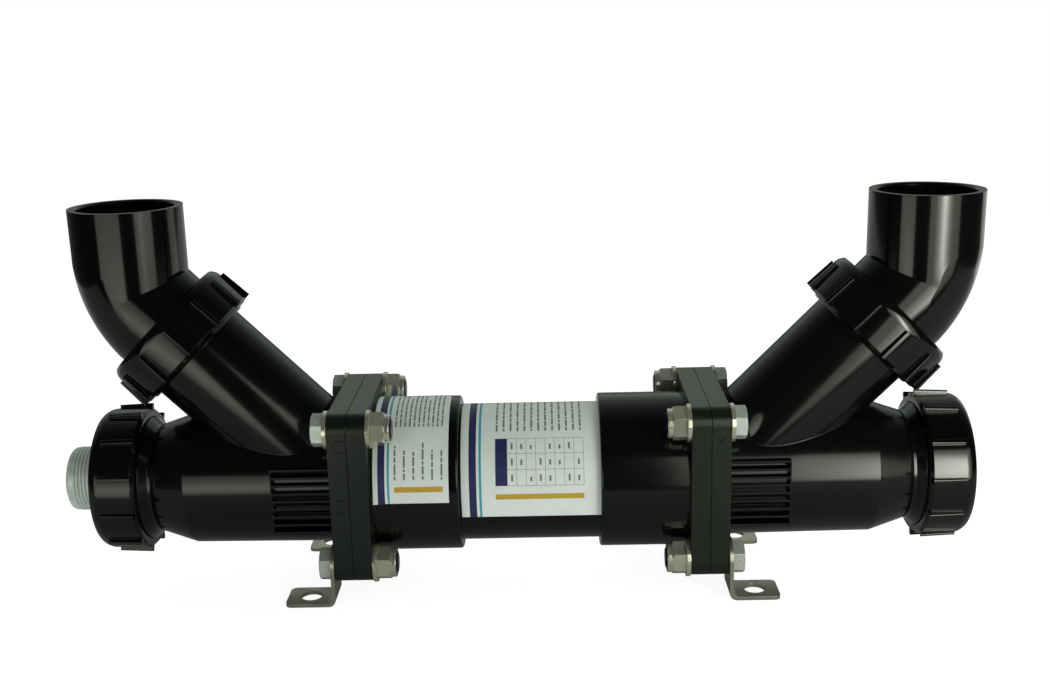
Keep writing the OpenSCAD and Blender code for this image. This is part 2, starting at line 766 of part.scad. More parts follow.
reactor_tube();
socket_flange("left");  // socket_flange_left
socket_flange("right");  // socket_flange_right
wye("left");  // wye_left
wye("right");  // wye_right
flange_oring("left");  // flange_oring_left
flange_oring("right");  // flange_oring_right
flange_bolts("left");  // flange_bolts_left
flange_bolts("right");  // flange_bolts_right
bolt_washers("left");  // bolt_washers_left
bolt_washers("right");  // bolt_washers_right
lock_nuts("left");  // lock_nuts_left
lock_nuts("right");  // lock_nuts_right
nylon_inserts("left");  // nylon_inserts_left
nylon_inserts("right");  // nylon_inserts_right
foot_bracket("left", -1);  // foot_front_left
foot_bracket("left", 1);  // foot_rear_left
foot_bracket("right", -1);  // foot_front_right
foot_bracket("right", 1);  // foot_rear_right
branch_oring("left");  // branch_oring_left
branch_oring("right");  // branch_oring_right
branch_nut("left", branch_turn_left);  // branch_nut_left
branch_nut("right", branch_turn_right);  // branch_nut_right
elbow("left");  // elbow_left
elbow("right");  // elbow_right
end_oring("left");  // end_oring_left
end_oring("right");  // end_oring_right
end_nut("left", end_turn_left);  // end_nut_left
end_nut("right", end_turn_right);  // end_nut_right
lamp_plug();
blind_plug();
lamp_stub();
quartz_seal();
quartz_sleeve();
quartz_cup();
uv_lamp();
lamp_base();
lamp_pins();
lamp_end_cap();
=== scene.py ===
# %% [markdown]
# # In-line ultraviolet water steriliser
#
# Water comes in through one elbow, runs along the black tube past a lamp, and leaves through the other
# elbow. The solids come from the CAD frame. This script gives each of them its finish, and adds what is too
# fine for the CAD: the thread on the lamp's stub, two printed films and the marks of the mould's ejector
# pins.

# %% Load the frame
import math

import bmesh
import bpy
from mathutils import Matrix, Vector


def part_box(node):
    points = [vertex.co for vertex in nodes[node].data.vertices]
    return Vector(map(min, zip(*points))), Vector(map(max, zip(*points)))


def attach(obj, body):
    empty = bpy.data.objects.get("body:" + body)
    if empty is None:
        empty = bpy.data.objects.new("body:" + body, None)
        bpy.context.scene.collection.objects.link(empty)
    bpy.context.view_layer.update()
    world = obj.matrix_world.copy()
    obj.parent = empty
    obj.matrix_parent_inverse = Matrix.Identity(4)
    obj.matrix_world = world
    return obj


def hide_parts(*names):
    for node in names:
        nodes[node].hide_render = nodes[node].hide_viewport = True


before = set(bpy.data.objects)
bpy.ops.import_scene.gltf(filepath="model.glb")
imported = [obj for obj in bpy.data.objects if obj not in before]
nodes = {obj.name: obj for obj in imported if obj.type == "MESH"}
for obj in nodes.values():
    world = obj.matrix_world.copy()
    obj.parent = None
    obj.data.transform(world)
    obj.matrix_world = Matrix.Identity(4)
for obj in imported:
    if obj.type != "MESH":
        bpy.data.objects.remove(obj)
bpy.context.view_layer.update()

scene = bpy.context.scene
MM = 0.001
print("CAD nodes:", len(nodes))

# %% [markdown]
# Everything hangs on one line, the axis of the reactor tube, so it is measured first. Sizes below are in
# millimetres, because that is how pipe and bolts are sold, and they become metres when a piece is finished.
# Only the studio round the object is laid out in metres.

# %% Measure the tube's axis
tube_low, tube_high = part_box("reactor_tube")
axis_z = (tube_low.z + tube_high.z) / 2 / MM
tube_r = (tube_high.z - tube_low.z) / 2 / MM
SLEEVE_OVER_TUBE = 5.7
sleeve_r = tube_r + SLEEVE_OVER_TUBE
print(f"axis {axis_z:.1f} mm above the floor, tube radius {tube_r:.2f} mm")

# %% [markdown]
# The camera stands where the photograph's camera stood: in front, a little above the elbows, looking down
# by fourteen degrees with a slight roll. A camera looks along its own minus Z, so its three axes are worked
# out as vectors and go straight into its matrix.

# %% Camera
CAMERA_X, CAMERA_Y, CAMERA_OVER_AXIS = 13.03, -797.63, 286.2
YAW, TILT, ROLL = (math.radians(angle) for angle in (-1.06, 14.38, 1.43))
SENSOR_WIDTH, LENS = 36, 43.81

camera_at = Vector((CAMERA_X, CAMERA_Y, CAMERA_OVER_AXIS + axis_z)) * MM
forward = Vector((math.sin(YAW) * math.cos(TILT), math.cos(YAW) * math.cos(TILT), -math.sin(TILT)))
level = Vector((math.cos(YAW), -math.sin(YAW), 0))
above = level.cross(forward)
right = math.cos(ROLL) * level - math.sin(ROLL) * above
up = math.sin(ROLL) * level + math.cos(ROLL) * above

camera = bpy.data.objects.new("camera", bpy.data.cameras.new("camera"))
camera.data.sensor_fit = "HORIZONTAL"
camera.data.sensor_width = SENSOR_WIDTH
camera.data.lens = LENS
camera.matrix_world = Matrix.Translation(camera_at) @ Matrix((right, up, -forward)).transposed().to_4x4()
scene.collection.objects.link(camera)
scene.camera = camera
print("camera at", [round(x, 3) for x in camera_at])

# %% [markdown]
# Three small helpers serve the studio and every material. Colours are written as the hex values that a
# screen shows, and Blender's shaders want linear light, so one function converts them. The next adds a
# node, sets it up and links it: an input is either a plain value or a pair of a node and the name of its
# output. The last one clears the nodes that Blender puts into a new tree.

# %% Colour and node helpers
def srgb(hex_colour):
    """Linear RGBA from a screen colour such as #1a2b3c."""
    parts = [int(hex_colour[i:i + 2], 16) / 255 for i in (1, 3, 5)]
    return tuple(p / 12.92 if p <= 0.04045 else ((p + 0.055) / 1.055) ** 2.4 for p in parts) + (1.0,)


def add_node(tree, kind, settings=None, inputs=None):
    """A node of a kind, with its settings, its input values and its links."""
    node = tree.nodes.new(kind)
    for name, value in (settings or {}).items():
        setattr(node, name, value)
    for name, value in (inputs or {}).items():
        if isinstance(value, tuple) and isinstance(value[0], bpy.types.Node):
            tree.links.new(value[0].outputs[value[1]], node.inputs[name])
        else:
            node.inputs[name].default_value = value
    return node


def empty_tree(owner):
    """The cleared node tree of a material, world or light."""
    owner.use_nodes = True
    owner.node_tree.nodes.clear()
    return owner.node_tree


# A Mix node of colours has its two colours and its result at these places.
MIX_A, MIX_B, MIX_RESULT = 6, 7, 2
print("black is", [round(c, 4) for c in srgb("#0b0c0c")])

# %% [markdown]
# Black gloss plastic shows little but reflections, so the studio matters more than the colour. Two upright
# diffuser panels stand in front, left and right of the camera. They draw the strips on the elbows and the
# long bars on the barrels. A lamp behind a diffuser makes it brightest in one place, so each light has a
# small node tree: Parametric runs from 0 to 1 over the panel, and the brightness falls off from the lamp's
# spot.

# %% A lamp behind a diffuser
LAMP_WHITE = "#fafff0"


def lamp_nodes(light, even, hot, spot, reach):
    """Makes a light even, with a hotter spot at a place on it that fades over a reach in metres."""
    tree = empty_tree(light)
    place = add_node(tree, "ShaderNodeNewGeometry")
    away = add_node(tree, "ShaderNodeVectorMath", {"operation": "SUBTRACT"}, {
        0: (place, "Parametric"), 1: (*spot, 0)})
    scaled = add_node(tree, "ShaderNodeVectorMath", {"operation": "MULTIPLY"}, {
        0: (away, "Vector"), 1: (light.size / reach[0], light.size_y / reach[1], 0)})
    distance = add_node(tree, "ShaderNodeVectorMath", {"operation": "LENGTH"}, {0: (scaled, "Vector")})
    fall = add_node(tree, "ShaderNodeMath", {"operation": "POWER"}, {
        0: 1 / math.e, 1: (distance, "Value")})
    strength = add_node(tree, "ShaderNodeMath", {"operation": "MULTIPLY_ADD"}, {
        0: (fall, "Value"), 1: hot, 2: even})
    shine = add_node(tree, "ShaderNodeEmission", inputs={
        "Color": srgb(LAMP_WHITE), "Strength": (strength, "Value")})
    add_node(tree, "ShaderNodeOutputLight", inputs={"Surface": (shine, "Emission")})


print("lamps are", LAMP_WHITE)

# %% [markdown]
# A panel is set out like a wall on a plan: by its left and right ends, and by how low and how high it
# reaches. An area light shines along its own minus Z, so its axes go into its matrix as the camera's did.
# Beside the two front panels, a lamp with a narrow spread draws the hot streak on the right elbow without
# lighting the films, and a dim panel at the rear right gives the back of the object some shape.

# %% Diffuser panels
def diffuser(name, left, right, low, high, even, hot=0.0, spot=(0.5, 0.5), reach=(0.3, 0.3), spread=180):
    """An upright panel between two points of the plan."""
    middle = (low + high) / 2
    left, right = Vector((*left, middle)), Vector((*right, middle))
    light = bpy.data.lights.new(name, "AREA")
    light.shape = "RECTANGLE"
    light.size, light.size_y = (right - left).length, high - low
    light.spread = math.radians(spread)
    # With this power, a strength of 1 in the nodes is as bright as white in the picture.
    light.energy = math.pi * light.size * light.size_y
    lamp_nodes(light, even, hot, spot, reach)
    panel = bpy.data.objects.new(name, light)
    along, upright = (right - left).normalized(), Vector((0, 0, 1))
    turn = Matrix((along, upright, along.cross(upright))).transposed().to_4x4()
    panel.matrix_world = Matrix.Translation((left + right) / 2) @ turn
    scene.collection.objects.link(panel)
    return panel


diffuser("panel_left", left=(-0.68, -0.453), right=(-0.213, -0.636), low=-0.10, high=0.26,
         even=0.35, hot=1.9, spot=(0.7, 0.42), reach=(0.50, 0.12))
diffuser("panel_right", left=(0.155, -0.651), right=(0.80, -0.45), low=-0.015, high=0.50,
         even=1.05, hot=1.2, spot=(0.42, 0.75), reach=(0.25, 0.25))
diffuser("lamp_right", left=(0.29, -0.664), right=(0.64, -0.55), low=0.0, high=0.52,
         even=0.0, hot=2.9, spot=(0.5, 0.6), reach=(0.06, 0.30), spread=64)
panel_back = diffuser("panel_back", left=(0.85, 0.30), right=(0.62, 0.62), low=0.0, high=0.30, even=0.7)
panel_back.visible_camera = False
print("lights: 4")

# %% [markdown]
# The world is the rest of that studio, and its light follows the direction: dim from the front, and strong
# from a pale wall behind, which lights the tops of the flanges. What shiny surfaces mirror is a darker wall,
# darkest near the floor, because a white one would turn the black plastic grey. The numbers are parts of a
# direction, from -1 to 1, and brightnesses, where 1 is white.

# %% World
WALL_STARTS, WALL_FULL, LIGHT_IN_FRONT, LIGHT_BEHIND = -0.1, 0.6, 0.22, 0.85
MIRRORED_FALL, MIRRORED_LEAST = 2.2, 0.025
LOW_WALL, HIGH_WALL, LOW_WALL_LIGHT, HIGH_WALL_LIGHT = 0.10, 0.28, 0.13, 0.54
WALL_TINT, WHITE = srgb("#f3fff2"), srgb("#ffffff")

world = bpy.data.worlds.new("studio")
scene.world = world
tree = empty_tree(world)
direction = add_node(tree, "ShaderNodeTexCoord")
parts = add_node(tree, "ShaderNodeSeparateXYZ", inputs={"Vector": (direction, "Generated")})
scattered = add_node(tree, "ShaderNodeMapRange", {"interpolation_type": "SMOOTHSTEP"}, {
    "Value": (parts, "Y"), "From Min": WALL_STARTS, "From Max": WALL_FULL,
    "To Min": LIGHT_IN_FRONT, "To Max": LIGHT_BEHIND})
behind = add_node(tree, "ShaderNodeMapRange", inputs={"Value": (parts, "Y"), "From Min": WALL_STARTS})
steep = add_node(tree, "ShaderNodeMath", {"operation": "POWER"}, {0: (behind, "Result"), 1: MIRRORED_FALL})
higher = add_node(tree, "ShaderNodeMapRange", inputs={
    "Value": (parts, "Z"), "From Min": LOW_WALL, "From Max": HIGH_WALL,
    "To Min": LOW_WALL_LIGHT, "To Max": HIGH_WALL_LIGHT})
mirrored = add_node(tree, "ShaderNodeMath", {"operation": "MULTIPLY_ADD"}, {
    0: (steep, "Value"), 1: (higher, "Result"), 2: MIRRORED_LEAST})
print("wall from", LIGHT_IN_FRONT, "to", LIGHT_BEHIND)

# %% [markdown]
# Light Path tells which kind of ray asks. To the camera, and through glass, the world is plain white in every
# direction, as the photograph's background is. Mirrored rays get the darker wall and scattered rays the pale
# one, both faintly green, as the greys in the photograph are.

# %% What each kind of ray sees of the world
rays = add_node(tree, "ShaderNodeLightPath")
wall = add_node(tree, "ShaderNodeMix", inputs={
    "Factor": (rays, "Is Glossy Ray"), "A": (scattered, "Result"), "B": (mirrored, "Value")})
clear = add_node(tree, "ShaderNodeMath", {"operation": "MAXIMUM"}, {
    0: (rays, "Is Camera Ray"), 1: (rays, "Is Transmission Ray")})
strength = add_node(tree, "ShaderNodeMath", {"operation": "MAXIMUM"}, {
    0: (clear, "Value"), 1: (wall, "Result")})
tint = add_node(tree, "ShaderNodeMix", {"data_type": "RGBA"}, {
    "Factor": (clear, "Value"), MIX_A: WALL_TINT, MIX_B: WHITE})
background = add_node(tree, "ShaderNodeBackground", inputs={
    "Color": (tint, MIX_RESULT), "Strength": (strength, "Value")})
add_node(tree, "ShaderNodeOutputWorld", inputs={"Surface": (background, "Background")})
scene.view_settings.view_transform = "Standard"
print("world nodes:", len(tree.nodes))

# %% [markdown]
# The floor is a plain pale sheet of studio paper. It ends below the picture, and the barrels and sleeves
# show its front edge as a sharp line along their middle. A grid of one face is enough, because it is flat.

# %% Floor
FLOOR_FRONT, FLOOR_BACK, FLOOR_SIDE = -0.36, 2.5, 0.9
bm = bmesh.new()
bmesh.ops.create_grid(bm, x_segments=1, y_segments=1, size=1)
bmesh.ops.scale(bm, vec=(FLOOR_SIDE, (FLOOR_BACK - FLOOR_FRONT) / 2, 1), verts=bm.verts)
bmesh.ops.translate(bm, vec=(0, (FLOOR_BACK + FLOOR_FRONT) / 2, 0), verts=bm.verts)
floor_mesh = bpy.data.meshes.new("floor")
bm.to_mesh(floor_mesh)
bm.free()
floor = bpy.data.objects.new("floor", floor_mesh)
scene.collection.objects.link(floor)
print("floor", [round(x, 2) for x in floor.dimensions])

# %% [markdown]
# Paper under studio light is so bright that the camera sees it as white. Light Path lets it glow for the
# camera alone by nearly that much, and its diffuse part still takes the object's shadow. It glows less for
# the light that it throws back at the object, and faintly where it is mirrored, more towards the rear,
# which brightens the underside of the object when it is seen from behind.

# %% Studio paper
CAMERA_GLOW, BOUNCED_GLOW = 0.9, 0.56
REAR_STARTS, REAR_FULL, MIRRORED_FRONT, MIRRORED_REAR = 0.1, 0.45, 0.03, 0.25

paper = bpy.data.materials.new("pale_studio_paper")
tree = empty_tree(paper)
rays = add_node(tree, "ShaderNodeLightPath")
matt = add_node(tree, "ShaderNodeBsdfDiffuse", inputs={"Color": srgb("#aeaeae")})
polished = add_node(tree, "ShaderNodeMath", {"operation": "MAXIMUM"}, {
    0: (rays, "Is Glossy Ray"), 1: (rays, "Is Transmission Ray")})
place = add_node(tree, "ShaderNodeNewGeometry")
parts = add_node(tree, "ShaderNodeSeparateXYZ", inputs={"Vector": (place, "Position")})
rear = add_node(tree, "ShaderNodeMapRange", {"interpolation_type": "SMOOTHSTEP"}, {
    "Value": (parts, "Y"), "From Min": REAR_STARTS, "From Max": REAR_FULL,
    "To Min": MIRRORED_FRONT, "To Max": MIRRORED_REAR})
mirrored = add_node(tree, "ShaderNodeMath", {"operation": "MULTIPLY"}, {
    0: (polished, "Value"), 1: (rear, "Result")})
bounced = add_node(tree, "ShaderNodeMath", {"operation": "MULTIPLY_ADD"}, {
    0: (rays, "Is Diffuse Ray"), 1: BOUNCED_GLOW, 2: (mirrored, "Value")})
seen = add_node(tree, "ShaderNodeMath", {"operation": "MULTIPLY_ADD"}, {
    0: (rays, "Is Camera Ray"), 1: CAMERA_GLOW, 2: (bounced, "Value")})
glow = add_node(tree, "ShaderNodeEmission", inputs={"Color": WHITE, "Strength": (seen, "Value")})
both = add_node(tree, "ShaderNodeAddShader", inputs={0: (matt, "BSDF"), 1: (glow, "Emission")})
add_node(tree, "ShaderNodeOutputMaterial", inputs={"Surface": (both, "Shader")})
floor_mesh.materials.append(paper)
print("paper nodes:", len(tree.nodes))

# %% [markdown]
# No real surface has one even colour. Melt, rolling, plating and printing all leave slow patches in which
# the colour and the gloss drift together. All materials below but the clear glass start from such patches,
# so one helper makes them: a noise of a size in millimetres, and the tint and the roughness that follow it.
# A second helper ends every material the same way.

# %% Mottled skin
NOISE_LOW, NOISE_HIGH = 0.3, 0.7


def mottled(tree, patch_mm, tints, roughs, detail=3.0, noise_rough=0.5):
    """Patches of a size, with a pair of tints and a pair of roughnesses, both for low and high noise."""
    place = add_node(tree, "ShaderNodeTexCoord")
    patch = add_node(tree, "ShaderNodeTexNoise", inputs={
        "Vector": (place, "Object"), "Scale": 1 / (patch_mm * MM), "Detail": detail,
        "Roughness": noise_rough})
    tint = add_node(tree, "ShaderNodeValToRGB", inputs={"Fac": (patch, "Fac")})
    for stop, at, colour in zip(tint.color_ramp.elements, (NOISE_LOW, NOISE_HIGH), tints):
        stop.position = at
        stop.color = srgb(colour)
    rough = add_node(tree, "ShaderNodeMapRange", inputs={
        "Value": (patch, "Fac"), "From Min": NOISE_LOW, "From Max": NOISE_HIGH,
        "To Min": roughs[0], "To Max": roughs[1]})
    return place, patch, tint, rough


def surface(tree, inputs):
    """Ends a material with one shader that has the given inputs."""
    shader = add_node(tree, "ShaderNodeBsdfPrincipled", inputs=inputs)
    add_node(tree, "ShaderNodeOutputMaterial", inputs={"Surface": (shader, "BSDF")})


print("noise from", NOISE_LOW, "to", NOISE_HIGH)

# %% [markdown]
# The flange plates are moulded in one piece with the barrels and sleeves, but look duller and a shade paler,
# because their part of the mould is eroded to a fine matt grain. Splitting the mesh would cut the CAD solid,
# so the material itself looks up how far along the tube a place lies.

# %% Eroded skin of the flange plates
PLATE_AT, PLATE_HALF_WIDTH = 112.0, 12.3
PLATE_PALER = "#0d140e"


def eroded_plates(tree, place, tint, rough, more_rough):
    """A paler colour and a higher roughness where the plastic lies in a flange plate."""
    parts = add_node(tree, "ShaderNodeSeparateXYZ", inputs={"Vector": (place, "Object")})
    along = add_node(tree, "ShaderNodeMath", {"operation": "ABSOLUTE"}, {0: (parts, "X")})
    on_plate = add_node(tree, "ShaderNodeMath", {"operation": "COMPARE"}, {
        0: (along, "Value"), 1: PLATE_AT * MM, 2: PLATE_HALF_WIDTH * MM})
    matt = add_node(tree, "ShaderNodeMath", {"operation": "MULTIPLY_ADD"}, {
        0: (on_plate, "Value"), 1: more_rough, 2: (rough, "Result")})
    paler = add_node(tree, "ShaderNodeMix", {"data_type": "RGBA", "blend_type": "ADD"}, {
        "Factor": (on_plate, "Value"), MIX_A: (tint, "Color"), MIX_B: srgb(PLATE_PALER)})
    return (paler, MIX_RESULT), (matt, "Value")


print("plates at", PLATE_AT, "mm from the middle")

# %% [markdown]
# Most of the object is injection-moulded black plastic. The mould leaves a skin that is nearly a mirror on
# the elbows and nuts, and a slightly duller one on the barrels and sleeves. Up close there is a faint orange
# peel, and long cloudy flow marks where the melt cooled. Moulded corners are never sharp: the Bevel node
# rounds their shading without touching the CAD mesh.

# %% Black plastics
FLOW_MM, FLOW_ROUGH = 35, 0.55
PLASTIC_IOR = 1.52
EDGE_SAMPLES = 6


def black_plastic(name, tints, roughs, peel_mm, peel_depth, edge_mm, plate_rough=0.0):
    """Moulded or drawn black plastic with flow marks, orange peel and rounded edges."""
    material = bpy.data.materials.new(name)
    tree = empty_tree(material)
    place, _, tint, rough = mottled(tree, FLOW_MM, tints, roughs, noise_rough=FLOW_ROUGH)
    colour, roughness = (tint, "Color"), (rough, "Result")
    if plate_rough:
        colour, roughness = eroded_plates(tree, place, tint, rough, plate_rough)
    peel = add_node(tree, "ShaderNodeTexNoise", inputs={
        "Vector": (place, "Object"), "Scale": 1 / (peel_mm * MM), "Detail": 2.0})
    edge = add_node(tree, "ShaderNodeBevel", {"samples": EDGE_SAMPLES}, {"Radius": edge_mm * MM})
    skin = add_node(tree, "ShaderNodeBump", inputs={
        "Height": (peel, "Fac"), "Strength": 1.0, "Distance": peel_depth * MM, "Normal": (edge, "Normal")})
    surface(tree, {
        "Base Color": colour, "Roughness": roughness, "Normal": (skin, "Normal"), "IOR": PLASTIC_IOR})
    return material


# Elbows and nuts: a polished mould, so the panels show in them as clear strips with soft ends.
gloss_pvc = black_plastic("moulded_gloss_pvc", ("#050706", "#070908"), (0.10, 0.14),
                          peel_mm=1.6, peel_depth=0.0015, edge_mm=0.35)
# Barrels: a satin mould, which blurs the bars of light, and matt plates that show as dark grey.
barrel_abs = black_plastic("moulded_satin_abs", ("#060807", "#080a09"), (0.13, 0.17),
                           peel_mm=1.3, peel_depth=0.0015, edge_mm=0.6, plate_rough=0.14)
# Sleeves: a little glossier than the barrels, with the same matt plates.
sleeve_abs = black_plastic("moulded_sleeve_abs", ("#060807", "#080a09"), (0.12, 0.16),
                           peel_mm=1.3, peel_depth=0.001, edge_mm=0.6, plate_rough=0.15)
# Tube: drawn through a die and not moulded, so its shine is softer.
drawn_pvc = black_plastic("extruded_pvc_pipe", ("#060807", "#080a09"), (0.16, 0.20),
                          peel_mm=1.4, peel_depth=0.001, edge_mm=0.3)
print("black plastics: 4")

# %% [markdown]
# The bolts end in the navy rings of the lock nuts, where little light gets in. Their ends get painted shade, a
# dark navy colour put into the metal. As with the plates, the material finds them by how close to the middle
# of the tube a place lies.

# %% Painted shade on the ends of the bolts
# The colour of the painted shade on the bolts' inner ends, deep in the lock nuts.
CUT_END_COLOUR = "#171b38"


def dark_cut_ends(tree, place, tint, cut_end):
    """Painted shade: a dark navy colour where the metal lies nearer to the middle than a distance."""
    parts = add_node(tree, "ShaderNodeSeparateXYZ", inputs={"Vector": (place, "Object")})
    along = add_node(tree, "ShaderNodeMath", {"operation": "ABSOLUTE"}, {0: (parts, "X")})
    at_end = add_node(tree, "ShaderNodeMath", {"operation": "LESS_THAN"}, {
        0: (along, "Value"), 1: cut_end * MM})
    darker = add_node(tree, "ShaderNodeMix", {"data_type": "RGBA"}, {
        "Factor": (at_end, "Value"), MIX_A: (tint, "Color"), MIX_B: srgb(CUT_END_COLOUR)})
    return darker, MIX_RESULT


# Shows the colour of the painted shade on the bolts' inner ends.
print("cut ends are", CUT_END_COLOUR)

# %% [markdown]
# The bolts, nuts, washers and strap feet are metal. A bare metal is all mirror, but one that has been
# pickled, plated or cast wears a dull film of oxide, which scatters part of the light as paint does, so
# Metallic is set below 1 for those. Colour and roughness get a slow cloud of some millimetres. The real
# grain is hundredths of a millimetre, too fine to show, so it is drawn coarser.

# %% Metals
GRAIN_MM = 0.45


def metal(name, tints, roughs, cloud_mm, grain_depth, edge_mm, metallic=1.0, cut_end=0.0):
    """Rolled, pressed, plated or turned metal with a cloudy skin and a fine grain."""
    material = bpy.data.materials.new(name)
    tree = empty_tree(material)
    place, _, tint, rough = mottled(tree, cloud_mm, tints, roughs)
    # Where a distance is given, the metal near the middle gets painted shade.
    colour = dark_cut_ends(tree, place, tint, cut_end) if cut_end else (tint, "Color")
    grain = add_node(tree, "ShaderNodeTexNoise", inputs={
        "Vector": (place, "Object"), "Scale": 1 / (GRAIN_MM * MM), "Detail": 2.0})
    edge = add_node(tree, "ShaderNodeBevel", {"samples": EDGE_SAMPLES}, {"Radius": edge_mm * MM})
    skin = add_node(tree, "ShaderNodeBump", inputs={
        "Height": (grain, "Fac"), "Strength": 1.0, "Distance": grain_depth * MM, "Normal": (edge, "Normal")})
    surface(tree, {
        "Base Color": colour, "Roughness": (rough, "Result"), "Normal": (skin, "Normal"),
        "Metallic": metallic})
    return material


# Nuts and washers: bright and faintly warm, with crisp reflections on their flats.
stainless = metal("pressed_stainless_steel", ("#e6e1ce", "#f4f0de"), (0.16, 0.11),
                  cloud_mm=6, grain_depth=0.001, edge_mm=0.35, metallic=0.82)
# Feet: rolled and pickled strip, a warm satin grey in which nothing mirrors clearly.
strap_steel = metal("rolled_stainless_strip", ("#b6b1a3", "#c8c4b6"), (0.34, 0.28),
                    cloud_mm=9, grain_depth=0.0015, edge_mm=0.4, metallic=0.9)
# Bolts: plated, so paler and colder than the nuts, and softer at the edges; their inner ends get painted
# shade.
zinc_steel = metal("zinc_plated_steel", ("#ced4cf", "#dde2dd"), (0.32, 0.26),
                   cloud_mm=5, grain_depth=0.001, edge_mm=0.6, metallic=0.6, cut_end=88.0)
# Stub: cast and left raw, an almost chalky pale grey.
stub_metal = metal("cast_zinc_alloy", ("#d2dcd8", "#e0e9e5"), (0.54, 0.44),
                   cloud_mm=6, grain_depth=0.002, edge_mm=0.3, metallic=0.35)
# Lamp pins: turned brass, a clean yellow mirror.
pin_brass = metal("turned_brass", ("#b08d4a", "#c9a860"), (0.30, 0.22),
                  cloud_mm=3, grain_depth=0.001, edge_mm=0.2)
print("metals: 5")

# %% [markdown]
# The small pieces are the navy nylon rings in the lock nuts, the rubber seals and the ceramic ends of the
# lamp. They differ in colour, in roughness and in the size of their grain, so one function makes all three.

# %% Nylon, rubber and ceramic
def small_part(name, tints, roughs, grain_mm, grain_depth, shine):
    """A matt piece with a fine grain."""
    material = bpy.data.materials.new(name)
    tree = empty_tree(material)
    _, grain, tint, rough = mottled(tree, grain_mm, tints, roughs)
    skin = add_node(tree, "ShaderNodeBump", inputs={
        "Height": (grain, "Fac"), "Strength": 1.0, "Distance": grain_depth * MM})
    surface(tree, {
        "Base Color": (tint, "Color"), "Roughness": (rough, "Result"), "Normal": (skin, "Normal"),
        "Specular IOR Level": shine})
    return material


# Nylon has a waxy half shine, rubber hardly any, and glazed ceramic a soft white one.
navy_nylon = small_part("navy_nylon", ("#171b46", "#20265e"), (0.35, 0.5),
                        grain_mm=1.2, grain_depth=0.01, shine=0.4)
seal_rubber = small_part("black_seal_rubber", ("#121213", "#1b1b1c"), (0.6, 0.8),
                         grain_mm=0.8, grain_depth=0.02, shine=0.3)
lamp_ceramic = small_part("white_lamp_ceramic", ("#dcd6c8", "#e9e4d8"), (0.3, 0.45),
                          grain_mm=0.9, grain_depth=0.01, shine=0.5)
print("small parts: 3")

# %% [markdown]
# The lamp lies in a sleeve of fused quartz, because ordinary glass would stop its ultraviolet light. Both
# are clear drawn tubes. Light has to pass through them, so they get full transmission, and the slow waves
# that drawing leaves bend what lies behind them a little.

# %% Glass
GLASS_IOR, WAVE_DEPTH = 1.46, 0.02


def clear_glass(name, colour, rough, wave_mm):
    """Clear drawn glass, with slow waves along the tube."""
    material = bpy.data.materials.new(name)
    tree = empty_tree(material)
    place = add_node(tree, "ShaderNodeTexCoord")
    wave = add_node(tree, "ShaderNodeTexNoise", inputs={
        "Vector": (place, "Object"), "Scale": 1 / (wave_mm * MM), "Detail": 1.0})
    skin = add_node(tree, "ShaderNodeBump", inputs={
        "Height": (wave, "Fac"), "Strength": 1.0, "Distance": WAVE_DEPTH * MM})
    surface(tree, {
        "Base Color": srgb(colour), "Roughness": rough, "Normal": (skin, "Normal"),
        "IOR": GLASS_IOR, "Transmission Weight": 1.0})
    return material


# Quartz is as clear as water, and the lamp's glass is faintly milky.
quartz_glass = clear_glass("fused_quartz", "#f4fbff", rough=0.02, wave_mm=40)
lamp_glass = clear_glass("soft_lamp_glass", "#eef6fa", rough=0.06, wave_mm=30)
print("glasses: 2")

# %% [markdown]
# Each CAD node keeps its mesh and gets its finish by the start of its name, so that left and right, or
# front and rear, need only one entry.

# %% Dress the CAD nodes
FINISHES = {
    "reactor_tube": drawn_pvc, "socket_flange": sleeve_abs, "wye": barrel_abs, "elbow": gloss_pvc,
    "branch_nut": gloss_pvc, "end_nut": gloss_pvc, "lamp_plug": barrel_abs, "blind_plug": barrel_abs,
    "flange_bolts": zinc_steel, "bolt_washers": stainless, "lock_nuts": stainless, "foot": strap_steel,
    "nylon_inserts": navy_nylon, "flange_oring": seal_rubber, "branch_oring": seal_rubber,
    "end_oring": seal_rubber, "quartz_seal": seal_rubber, "quartz_cup": seal_rubber,
    "quartz_sleeve": quartz_glass, "uv_lamp": lamp_glass, "lamp_base": lamp_ceramic,
    "lamp_end_cap": lamp_ceramic, "lamp_pins": pin_brass, "lamp_stub": stub_metal,
}
for name, node in nodes.items():
    finish = next(finish for start, finish in FINISHES.items() if name.startswith(start))
    for slot in node.material_slots:
        slot.material = finish
print("dressed", len(nodes), "nodes by", len(FINISHES), "names")

# %% [markdown]
# New pieces are drawn in millimetres in a bmesh. This helper turns one into an object in metres: it merges
# doubles, points the faces outwards, shades curves smooth, and makes the piece ride on its CAD body.

# %% Finish a new piece
MERGE_MM = 0.002


def make_piece(name, bm, finish, body, crease=35):
    """An object from a bmesh in millimetres, riding on a body."""
    bmesh.ops.remove_doubles(bm, verts=bm.verts, dist=MERGE_MM)
    bmesh.ops.recalc_face_normals(bm, faces=bm.faces)
    bmesh.ops.scale(bm, vec=(MM, MM, MM), verts=bm.verts)
    mesh = bpy.data.meshes.new(name)
    bm.to_mesh(mesh)
    bm.free()
    mesh.shade_smooth()
    mesh.set_sharp_from_angle(angle=math.radians(crease))
    mesh.materials.append(finish)
    piece = bpy.data.objects.new(name, mesh)
    scene.collection.objects.link(piece)
    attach(piece, body)
    print(name, len(mesh.polygons), "faces")
    return piece


# %% [markdown]
# The lamp's stub is a short metal tube that stands out of the plug at the left end, and the lamp slides in
# through it. Its body is a turned shape, so a half section is drawn, from the shank in the plug to the mouth.
# The edge of the mouth is rounded, and the section is spun once round the axis.

